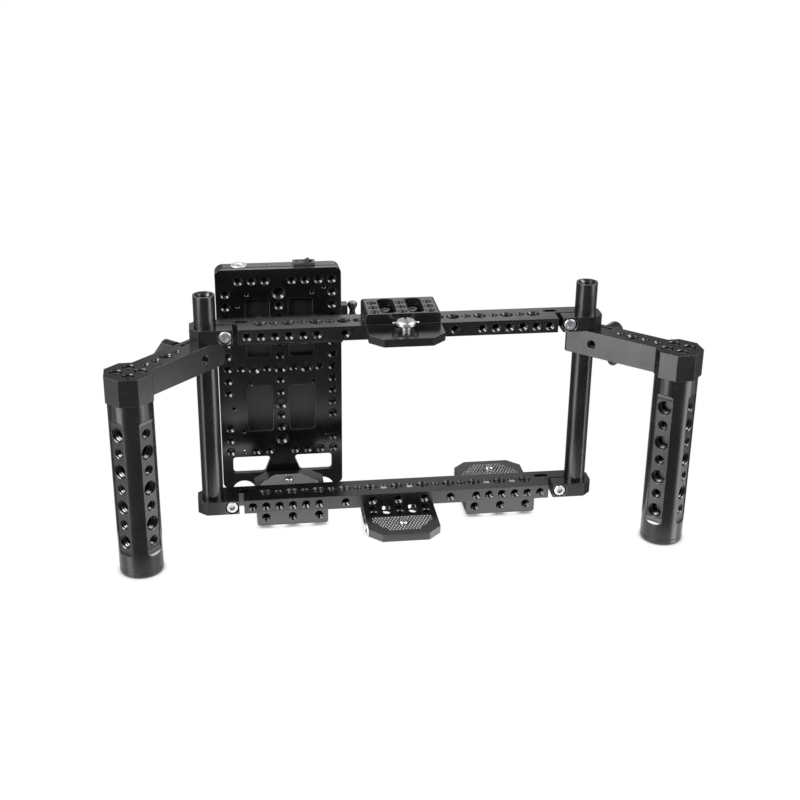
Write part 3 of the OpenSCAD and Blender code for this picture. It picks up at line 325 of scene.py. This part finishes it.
# each bracket's body, the signs that turn its own axes, and its place
BRACKETS = {"top": ("top_frame", (1, 1, 1), (0, 0, BAR_RISE)),
            "front": ("cage", (-1, 1, -1), (0, 0, -BAR_H)),
            "left": ("cage", (1, -1, -1), (-8 * PITCH, 0, -BAR_H)),
            "right": ("cage", (1, -1, -1), (8 * PITCH, 0, -BAR_H))}
BLOCK_H, BLOCK_BACK, BLOCK_HALF = 13, 6.5, 25.5
TOP_ROWS, SIDE_ROWS, SIDE_DEPTH = (-3.2, -12.1, -21.0), (-7.65, -16.55), 3.2
SCREW_Y, SCREW_TRAVEL, TIP_L = -37.8, 3.7, 5
LIFTS = {"top": 3.7, "front": 1.7, "left": 1.7, "right": 0.3}
# each arm's side, its swing and its grip's turn in degrees, and where its grip's large holes start
ARMS = {"left": (-1, 46.4, 0.0, 0), "right": (1, 42.5, -3.0, 1)}
ARM_HOLE, ARM_HALF_W, ARM_HALF_H, HEAD_X = 56.8, 9.5, 9, 11
GRIP_X, GRIP_DROP, GRIP_L, GRIP_FLAT, GRIP_PITCH, GRIP_DEPTH = 72, 18.5, 122.4, 13.1, 13.1, 5.8
# battery plate: middle, front face, grid pitch and top row; columns of its holes in each row
BATT_X, BATT_Y, GRID, GRID_TOP = -79.4, 57.0, 9.6, 140.6
GRID_SMALL = {0: (-3, -2, -1, 1, 2, 3, 4), 1: (-4, 4), 2: (-4, 0, 4), 3: (-4, 0, 4), 4: (0,),
              5: (-4, 0, 4), 6: (-4, 0, 4), 7: (-4, -3, -1, 1, 3, 4), 8: (-4, 0, 4), 9: (-4, 0, 4),
              10: (4,), 11: (0, 4), 12: (-4, 0), 13: (-4, 4), 14: (-4, -2, -1, 1, 2, 3, 4)}
GRID_LARGE = {1: (0,), 7: (-2, 0, 2), 10: (0,), 13: (0,)}
GRID_DEPTH, BACK_DEPTH = 3.6, 3.7
JACK_X, LENS_X, HOUSING_Y, BATT_TOP = -107.0, -87.0, 67.25, 149.3


def cut(at, axis, size=SMALL, depth=BLIND):
    """Thread of a 1/4 inch or 3/8 inch hole, with more steps in the larger."""
    return thread(at, axis, size, depth, steps=14 if size[0] < LARGE[0] else 18)


def on_bracket(name, points):
    """Points of a bracket's own axes in the object's: points times signs plus place."""
    _, signs, place = BRACKETS[name]
    return points * np.array(signs) + np.array(place)


def bar_threads(body):
    """Threads in the front, back and top faces of a bar; large and small take turns on top."""
    z, bolted, carrier = BARS[body]
    parts = [cut((i * PITCH, -BAR_HALF, z - BAR_H / 2), (0, -1, 0)) for i in FRONT_HOLES]
    parts += [cut((i * PITCH, BAR_HALF, z - BAR_H / 2), (0, 1, 0)) for i in BACK_HOLES if i not in carrier]
    parts += [cut((i * PITCH, 0, z), (0, 0, 1), LARGE if i % 2 == 0 else SMALL, THROUGH)
              for i in range(-10, 11) if abs(i) not in bolted]
    piece(body + "_bar_threads", parts, THREAD, body, True)


def bracket_threads(name):
    """Threads in the outer, back and end faces of a bracket's block."""
    body, signs, _ = BRACKETS[name]
    across, back, up = np.diag(signs)
    parts = []
    for x in (-2 * PITCH, 0.0, 2 * PITCH):
        parts += [cut(on_bracket(name, np.array([x, y, BLOCK_H])), up) for y in TOP_ROWS]
        parts.append(cut(on_bracket(name, np.array([x, BLOCK_BACK, BLOCK_H / 2])), back))
    for s in (-1, 1):
        ends = [on_bracket(name, np.array([s * BLOCK_HALF, y, BLOCK_H / 2])) for y in SIDE_ROWS]
        parts += [cut(at, s * across, depth=SIDE_DEPTH) for at in ends]
    piece(name + "_bracket_threads", parts, THREAD, body, True)


def arm_threads(side):
    """Threads in an arm's top and head and in the four flats of its grip. The arm's columns are along
    it, (s cos a, -sin a), and to its rear, (s sin a, cos a), for side s and swing a."""
    s, swing, lean, first = ARMS[side]
    a = math.radians(swing)
    along = np.array([s * math.cos(a), -math.sin(a), 0])
    rear = np.array([s * math.sin(a), math.cos(a), 0])
    up = np.array([0, 0, 1.0])
    corner = np.array([s * ROD_X, 0, BAR_RISE - BAR_H])
    parts = [cut(corner + along * (ARM_HOLE - PITCH * k), up, LARGE if k == 2 else SMALL, THROUGH)
             for k in range(4)]
    parts.append(cut(corner + along * HEAD_X - rear * ARM_HALF_W - up * ARM_HALF_H, -rear))
    for f in range(4):
        turn = math.radians(f * 90 + lean)
        out = along * math.cos(turn) + rear * math.sin(turn)
        for k in range(7):
            z = -GRIP_DROP - GRIP_L / 2 + (k - 3) * GRIP_PITCH
            size = GRIP_LARGE if (k + f + first) % 2 == 0 else GRIP_SMALL
            parts.append(cut(corner + along * GRIP_X + out * GRIP_FLAT + up * z, out, size, GRIP_DEPTH))
    piece(side + "_arm_threads", parts, THREAD, side + "_arm_body", True)


def plate_threads():
    """Threads in the battery plate's grid of holes, and discs that close its bottom row."""
    parts = [cut((BATT_X + c * GRID, BATT_Y, GRID_TOP - row * GRID), (0, -1, 0), size, GRID_DEPTH)
             for size, table in ((SMALL, GRID_SMALL), (LARGE, GRID_LARGE))
             for row, columns in table.items() for c in columns]
    piece("plate_threads", parts, THREAD, "top_frame", True)
    row = max(GRID_SMALL)
    disc = [(0, 0), (SMALL[0] - SUNK, 0)]
    at = [(BATT_X + c * GRID, BATT_Y + BACK_DEPTH, GRID_TOP - row * GRID) for c in GRID_SMALL[row]]
    backs = [revolved(disc, place, (0, -1, 0), steps=20) for place in at]
    piece("plate_hole_backs", backs, ANODISED, "top_frame")


def rod_threads():
    """Threads in both ends of both rods."""
    parts = [thread((s * ROD_X, 0, z), (0, 0, d), ROD_THREAD, ROD_DEPTH, turns=6, start=0.8, steps=24)
             for s in (-1, 1) for z, d in ((ROD_TOP, 1), (-BAR_H, -1))]
    piece("rod_threads", parts, THREAD, "cage", True)


def screw_thread(name):
    """Thread on the tip of a bracket's captive screw."""
    tip = on_bracket(name, np.array([0, SCREW_Y, LIFTS[name] - SCREW_TRAVEL]))
    down = -np.diag(BRACKETS[name][1])[2]
    part = thread(tip, down, TIP_THREAD, TIP_L, turns=3.4, start=0.1, steps=20)
    piece(name + "_screw_thread", [part], STEEL, name + "_screw_body", True)


def plate_fittings():
    """Insulator and centre pin of the power jack and the small lens beside it on the housing's top,
    each turned from a profile of (radius, height)."""
    jack, lens, up = (JACK_X, HOUSING_Y, BATT_TOP), (LENS_X, HOUSING_Y, BATT_TOP), (0, 0, 1)
    part = revolved([(0, -1.0), (2.75, -1.0), (2.75, -3.0)], jack, up)
    piece("jack_insulator", [part], SWITCH, "top_frame")
    part = revolved([(0, 0.1), (0.7, 0.1), (1.0, -0.2), (1.0, -2.0)], jack, up, steps=20)
    piece("jack_pin", [part], STEEL, "top_frame")
    part = revolved([(0, 0.25), (0.5, 0.2), (0.8, 0.0), (0.8, -0.5)], lens, up, steps=20)
    piece("status_lens", [part], SWITCH, "top_frame", True)


# Rubber pads, in mm: straight edge, depth, corner radius and the right half of the outline
PAD_Y, PAD_DEEP, PAD_ROUND = -27.8, 20.0, 3.0
PAD_OUTLINE = np.array([[0.0, 0.0], [21.5, 0.0], [21.5, -6.0], [10.0, -PAD_DEEP], [0.0, -PAD_DEEP]])
# heights of its face and back, depth of a groove, radius of the screw's hole and points of the grid
PAD_FACE, PAD_BACK, GROOVE_DEEP, PAD_HOLE, PAD_GRID = -0.4, 1.1, 0.6, 3.6, (140, 280)
# how far from the rim the grooves fade, width and depth of the rim's round, and how far outside the hole
# a point still goes to its edge
FADE, RIM_WIDE, RIM_DEEP, SNAP = 0.7, 0.35, 0.25, 0.12


def pad_half_width(y):
    """Half width of a pad at depth y behind its straight edge: the outline moved in by its corner
    radius, and grown again by circles of that radius along it."""
    inner = []
    for a, b, c in zip(PAD_OUTLINE[:-2], PAD_OUTLINE[1:-1], PAD_OUTLINE[2:]):
        u, w = (a - b) / np.linalg.norm(a - b), (c - b) / np.linalg.norm(c - b)
        mid = (u + w) / np.linalg.norm(u + w)
        inner.append(b + mid * PAD_ROUND / math.sin(math.acos(u @ w) / 2))
    t = np.linspace(0, 1, 400)[:, None]
    path = np.concatenate([p * (1 - t) + q * t for p, q in zip(inner[:-1], inner[1:])])
    reach = PAD_ROUND * PAD_ROUND - (y[:, None] - path[None, :, 1]) ** 2
    return np.where(reach >= -1e-9, path[None, :, 0] + np.sqrt(np.maximum(reach, 0)), -1).max(1)


def knurled_pad(name):
    """Pad as a grid of width share u and depth y: x = u half_width(y), and the height is the face less
    the deeper of two sets of slanted V grooves, 1 - min(1, 2 slope |frac - 1/2|) of their depth. The
    rim is rounded, points in the screw's hole are drawn out to its edge, and a back closes it."""
    rows, cols = PAD_GRID
    half = PAD_DEEP / 2
    y = -half + half * np.sin(np.linspace(np.pi / 2, -np.pi / 2, rows))
    y = 0.75 * y + 0.25 * np.linspace(0, -PAD_DEEP, rows)
    u = np.linspace(-1, 1, cols)
    wide = pad_half_width(y)[:, None]
    x = u[None] * wide
    yy = y[:, None] + 0 * x
    place = on_bracket(name, np.stack([x, yy + PAD_Y, 0 * x], -1))
    walls = [np.abs(((place[..., 0] * math.cos(a) + place[..., 1] * math.sin(a)) / KNURL_MM) % 1 - 0.5) * 2
             for a in (KNURL_ANGLE, -KNURL_ANGLE)]
    cut_in = GROOVE_DEEP * np.maximum(*[1 - np.minimum(wall * KNURL_SLOPE, 1) for wall in walls])
    edge = np.minimum((1 - np.abs(u))[None] * wide, np.minimum(-y, PAD_DEEP + y)[:, None])
    cut_in = cut_in * np.clip(edge / FADE, 0, 1) + RIM_DEEP * np.clip(1 - edge / RIM_WIDE, 0, 1)
    away = np.linalg.norm(np.stack([x, yy + half], -1), axis=-1)
    inside = away < PAD_HOLE + SNAP
    snap = np.where(inside, PAD_HOLE / np.maximum(away, 1e-6), 1)
    x, yy = x * snap, (yy + half) * snap - half
    face = np.stack([x, yy + PAD_Y, PAD_FACE + cut_in], -1)
    quads = grid_faces(rows, cols)
    quads = quads[~inside.reshape(-1)[quads].all(1)]
    back = face.copy()
    back[..., 2] = PAD_BACK
    loop = np.concatenate([np.arange(cols), np.arange(1, rows) * cols + cols - 1,
                           (rows - 1) * cols + np.arange(cols - 2, -1, -1),
                           np.arange(rows - 2, 0, -1) * cols])
    after = np.roll(loop, -1)
    n = rows * cols
    sides = np.stack([loop, loop + n, after + n, after], -1)
    points = np.concatenate([face.reshape(-1, 3), back.reshape(-1, 3)])
    faces = np.concatenate([quads, quads[:, ::-1] + n, sides])
    part = (on_bracket(name, points), faces)
    ob = piece(name + "_knurled_pad", [part], RUBBER, BRACKETS[name][0])
    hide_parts(name + "_pad")


# Camera, found from the photograph: yaw, pitch and roll in degrees, place in mm, focal length and sensor
CAMERA_TURN, CAMERA_AT, LENS, SENSOR = (7.95, 23.59, 0.69), (-121.9, -885.8, 458.5), 62.07, 36


def axes_matrix(x, y, z, at):
    """Matrix of an object from its three axes and its place in metres."""
    m = np.eye(4)
    m[:3, 0], m[:3, 1], m[:3, 2], m[:3, 3] = x, y, z, at
    return Matrix(m.tolist())


def place_camera():
    """Camera whose forward direction is (sin yaw cos pitch, cos yaw cos pitch, -sin pitch), rolled
    about it."""
    yaw, pitch, roll = np.radians(CAMERA_TURN)
    ahead = np.array([math.sin(yaw) * math.cos(pitch), math.cos(yaw) * math.cos(pitch), -math.sin(pitch)])
    right = np.array([math.cos(yaw), -math.sin(yaw), 0])
    up = np.cross(right, ahead)
    cam = bpy.data.objects.new("camera", bpy.data.cameras.new("camera"))
    scene.collection.objects.link(cam)
    cam.data.sensor_width = SENSOR
    cam.data.lens = LENS
    cam.data.clip_start = 0.01
    x = math.cos(roll) * right + math.sin(roll) * up
    y = -math.sin(roll) * right + math.cos(roll) * up
    cam.matrix_world = axes_matrix(x, y, -ahead, np.array(CAMERA_AT) * MM)
    scene.camera = cam


# Light and floor, in metres: half the floor's side, the middle of the object, and each lamp's direction
# from there, distance, width and height, and brightness
FLOOR_HALF, MIDDLE = 6.0, (0, 0, 0.06)
LAMPS = {"left_tall_box": ((-0.80, -0.47, -0.2), 1.15, (0.5, 0.62), 5.2),
         "right_tall_box": ((0.80, -0.47, -0.25), 1.15, (0.5, 0.62), 5.0),
         "left_key": ((-0.84, -0.36, 0.72), 1.1, (0.95, 0.5), 20),
         "right_key": ((0.84, -0.32, 0.72), 1.1, (0.95, 0.5), 13),
         "left_glint": ((-0.78, -0.39, 0.45), 1.1, (0.34, 0.34), 22),
         "right_glint": ((0.90, -0.22, 0.33), 1.1, (0.34, 0.34), 18),
         "overhead": ((0.0, -0.15, 1.0), 1.2, (0.8, 0.8), 0.5)}


def studio_world():
    """White where the camera looks. Reflections see a dim room with a brighter board behind the
    object, and everything else gets a plain soft fill."""
    world = bpy.data.worlds.new("studio")
    scene.world = world
    world.use_nodes = True
    t = world.node_tree
    t.nodes.clear()
    path = add(t, "LightPath")
    direct = add(t, "Math", LARGER, in_0=(path, "Is Camera Ray"), in_1=(path, "Is Transmission Ray"))
    xyz = add(t, "SeparateXYZ", Vector=(add(t, "TexCoord"), "Generated"))
    # the board spans these slopes to the side and these heights, seen from the object
    ahead = add(t, "Math", LARGER, in_0=(xyz, "Y"), in_1=0.05)
    slope = add(t, "Math", {"operation": "DIVIDE"}, in_0=(xyz, "X"), in_1=ahead)
    board = soft_region(t, (slope, -0.06, 0.02, 0.0, 1.0), (slope, 0.24, 0.32, 1.0, 0.0),
                        ((xyz, "Z"), 0.37, 0.52, 1.0, 0.0), ((xyz, "Y"), 0.1, 0.3, 0.0, 1.0))
    room = add(t, "Math", {"operation": "MULTIPLY_ADD"}, in_0=board, in_1=1.1, in_2=0.19)
    fill = add(t, "Background", Color=linear("#F4F6FA"), Strength=0.25)
    seen = add(t, "Background", Color=WHITE, Strength=room)
    white = add(t, "Background", Color=WHITE, Strength=1.0)
    around = add(t, "MixShader", in_0=(path, "Is Glossy Ray"), in_1=fill, in_2=seen)
    add(t, "OutputWorld", Surface=add(t, "MixShader", in_0=direct, in_1=around, in_2=white))


def white_floor():
    """Plain floor: white to the camera, with a painted contact shadow where the object sits within 4.5 mm
    above it. Reflections see a glowing strip along the object's front, a painted reflection in a near and
    a far part and weaker at both ends, and lamps that reach lower than the floor shine through it."""
    m, t = new_material("floor_white")
    path = add(t, "LightPath")
    direct = add(t, "Math", LARGER, in_0=(path, "Is Camera Ray"), in_1=(path, "Is Transmission Ray"))
    # painted contact shadow: the floor's white glow is dimmed where ambient occlusion finds the object
    # within 4.5 mm
    cover = add(t, "AmbientOcclusion", {"samples": 16}, Distance=4.5 * MM)
    bare = soft_region(t, ((cover, "AO"), 0.1, 0.9, 0.1, 1.0))
    glow = add(t, "Emission", Color=WHITE, Strength=bare)
    xyz = add(t, "SeparateXYZ", Vector=(add(t, "TexCoord"), "Object"))
    x, y = (xyz, "X"), (xyz, "Y")
    # painted reflection: a glowing strip on the floor, seen only in reflections, in a near and a far part
    # and weaker at both ends
    near = soft_region(t, (y, -0.04, -0.03, 0.0, 1.0), (y, -0.014, -0.006, 3.5, 0.0))
    far = soft_region(t, (y, -0.1, -0.075, 0.0, 1.0), (y, -0.04, -0.03, 1.0, 0.0), (x, 0.0, 0.1, 2.4, 3.2))
    both = add(t, "Math", {"operation": "ADD"}, in_0=near, in_1=far)
    aside = add(t, "Math", {"operation": "ABSOLUTE"}, in_0=x)
    strip = add(t, "Math", TIMES, in_0=both, in_1=soft_region(t, (aside, 0.122, 0.13, 1.0, 0.35)))
    painted_reflection_glow = add(t, "Emission", Color=WHITE, Strength=strip)
    clear = add(t, "BsdfTransparent")
    mirror = add(t, "AddShader", in_0=painted_reflection_glow, in_1=clear)
    paint = add(t, "BsdfDiffuse", Color=linear("#F2F2F2"))
    shown = add(t, "MixShader", in_0=direct, in_1=paint, in_2=glow)
    shown = add(t, "MixShader", in_0=(path, "Is Glossy Ray"), in_1=shown, in_2=mirror)
    shown = add(t, "MixShader", in_0=(path, "Is Shadow Ray"), in_1=shown, in_2=clear)
    add(t, "OutputMaterial", Surface=shown)
    corners = [(-FLOOR_HALF, -FLOOR_HALF), (FLOOR_HALF, -FLOOR_HALF), (FLOOR_HALF, FLOOR_HALF),
               (-FLOOR_HALF, FLOOR_HALF)]
    mesh = bpy.data.meshes.new("floor")
    mesh.from_pydata([(*corner, cad_box[0][2]) for corner in corners], [], [(0, 1, 2, 3)])
    mesh.materials.append(m)
    floor = bpy.data.objects.new("floor", mesh)
    scene.collection.objects.link(floor)


def soft_lamp(name, direction, distance, size, glow):
    """Rectangular soft box towards a direction from the object's middle, facing it. Its power is
    glow times pi times its width and height, so glow is its brightness."""
    z = np.array(direction) / np.linalg.norm(direction)
    x = np.cross([0, 0, 1], z)
    x = x / np.linalg.norm(x)
    lamp = bpy.data.lights.new(name, "AREA")
    lamp.shape = "RECTANGLE"
    lamp.size, lamp.size_y = size
    lamp.energy = glow * math.pi * size[0] * size[1]
    ob = bpy.data.objects.new(name, lamp)
    scene.collection.objects.link(ob)
    ob.matrix_world = axes_matrix(x, np.cross(z, x), z, z * distance + MIDDLE)


for bar in BARS:
    bar_threads(bar)
for bracket in BRACKETS:
    bracket_threads(bracket)
for arm in ARMS:
    arm_threads(arm)
plate_threads()
rod_threads()
for bracket in LIFTS:
    screw_thread(bracket)
plate_fittings()
for bracket in BRACKETS:
    knurled_pad(bracket)
place_camera()
studio_world()
white_floor()
for lamp in LAMPS:
    soft_lamp(lamp, *LAMPS[lamp])
